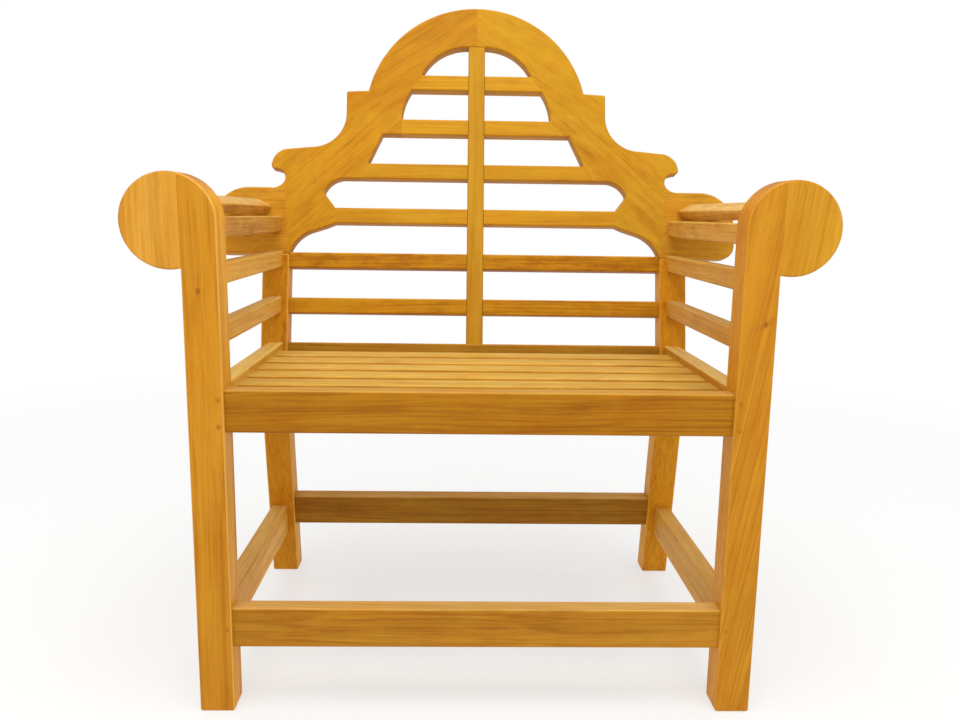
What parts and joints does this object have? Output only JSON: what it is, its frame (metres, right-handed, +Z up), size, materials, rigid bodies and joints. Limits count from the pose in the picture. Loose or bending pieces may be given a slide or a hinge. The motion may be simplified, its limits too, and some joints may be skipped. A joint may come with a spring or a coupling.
{
  "type": "garden armchair",
  "caption": "Single-seat teak garden armchair with an arched, stepped slatted back, rolled slat arms ending in front roundels, and a slatted seat.",
  "frame": {"origin": "middle of the footprint on the ground", "axes": "+Z up, +X to the right seen from the front, +Y into the depth, front at -Y"},
  "size_m": [0.944, 0.5871, 1.0528],
  "materials": {
    "teak": "smooth sanded, lightly oiled",
    "teak_pegs": "sanded end grain"
  },
  "bodies": {
    "root": {"arm_roll_slat_inner_left": "teak", "arm_roll_slat_inner_right": "teak", "arm_roll_slat_upper_inner_left": "teak", "arm_roll_slat_upper_inner_right": "teak", "arm_roll_slat_upper_outer_left": "teak", "arm_roll_slat_upper_outer_right": "teak", "arm_roundel_left": "teak", "arm_roundel_right": "teak", "arm_slat_lower_left": "teak", "arm_slat_lower_right": "teak", "arm_slat_upper_left": "teak", "arm_slat_upper_right": "teak", "back_ear_left": "teak", "back_ear_right": "teak", "back_leg_left": "teak", "back_leg_right": "teak", "back_muntin": "teak", "back_seat_rail": "teak", "back_side_board_left": "teak", "back_side_board_right": "teak", "back_slat_1": "teak", "back_slat_2": "teak", "back_slat_3": "teak", "back_slat_4": "teak", "back_slat_5": "teak", "back_slat_6": "teak", "back_stretcher": "teak", "crest_left": "teak", "crest_right": "teak", "front_leg_left": "teak", "front_leg_right": "teak", "front_seat_rail": "teak", "front_stretcher": "teak", "joint_dowels": "teak_pegs", "pegs_back": "teak_pegs", "pegs_front": "teak_pegs", "pegs_sides": "teak_pegs", "seat_bearer": "teak", "seat_slat_1": "teak", "seat_slat_2": "teak", "seat_slat_3": "teak", "seat_slat_4": "teak", "seat_slat_5": "teak", "seat_slat_6": "teak", "side_seat_rail_left": "teak", "side_seat_rail_right": "teak", "side_stretcher_left": "teak", "side_stretcher_right": "teak"}
  },
  "joints": []
}
